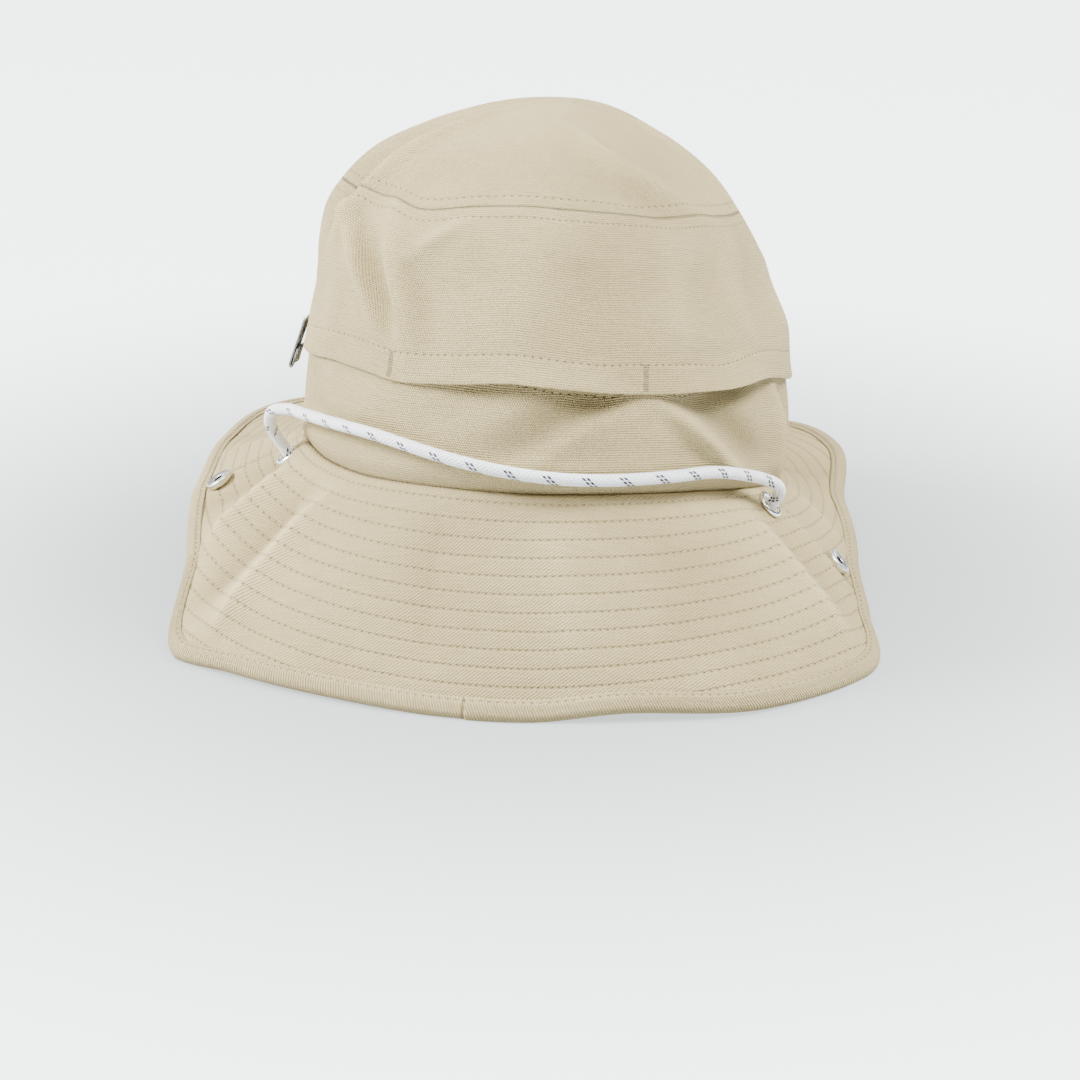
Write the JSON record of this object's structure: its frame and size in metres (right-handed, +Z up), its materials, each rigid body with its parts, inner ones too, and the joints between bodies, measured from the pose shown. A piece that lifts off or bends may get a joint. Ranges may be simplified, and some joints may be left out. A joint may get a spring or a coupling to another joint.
{
  "type": "safari hat",
  "caption": "Soft cloth hat with a domed crown, a flap over the band, a quilted brim that is long over the neck, and a chin cord through metal eyelets.",
  "frame": {"origin": "on the table, under the middle of the hat's bounding box", "axes": "+Z up, the front of the hat toward -Y, the long back of the brim toward +Y, the wearer's left toward +X"},
  "size_m": [0.2547, 0.2916, 0.1743],
  "materials": {
    "crown_tip": "fine ribbed cotton",
    "crown_upper_band": "fine ribbed cotton",
    "crown_lower_band": "fine ribbed cotton",
    "brim": "stitched cotton twill",
    "brim_binding": "cotton twill tape",
    "eyelet_left": "polished",
    "eyelet_right": "polished",
    "press_stud_left": "satin",
    "press_stud_right": "satin",
    "side_label": "woven tape",
    "chin_cord": "braided, with dark flecks",
    "cord_stopper": "plain"
  },
  "bodies": {
    "root": {"crown_tip": "crown_tip", "crown_upper_band": "crown_upper_band", "crown_lower_band": "crown_lower_band", "brim": "brim", "brim_binding": "brim_binding", "eyelet_left": "eyelet_left", "eyelet_right": "eyelet_right", "press_stud_left": "press_stud_left", "press_stud_right": "press_stud_right", "side_label": "side_label", "chin_cord": "chin_cord", "cord_stopper": "cord_stopper"}
  },
  "joints": []
}
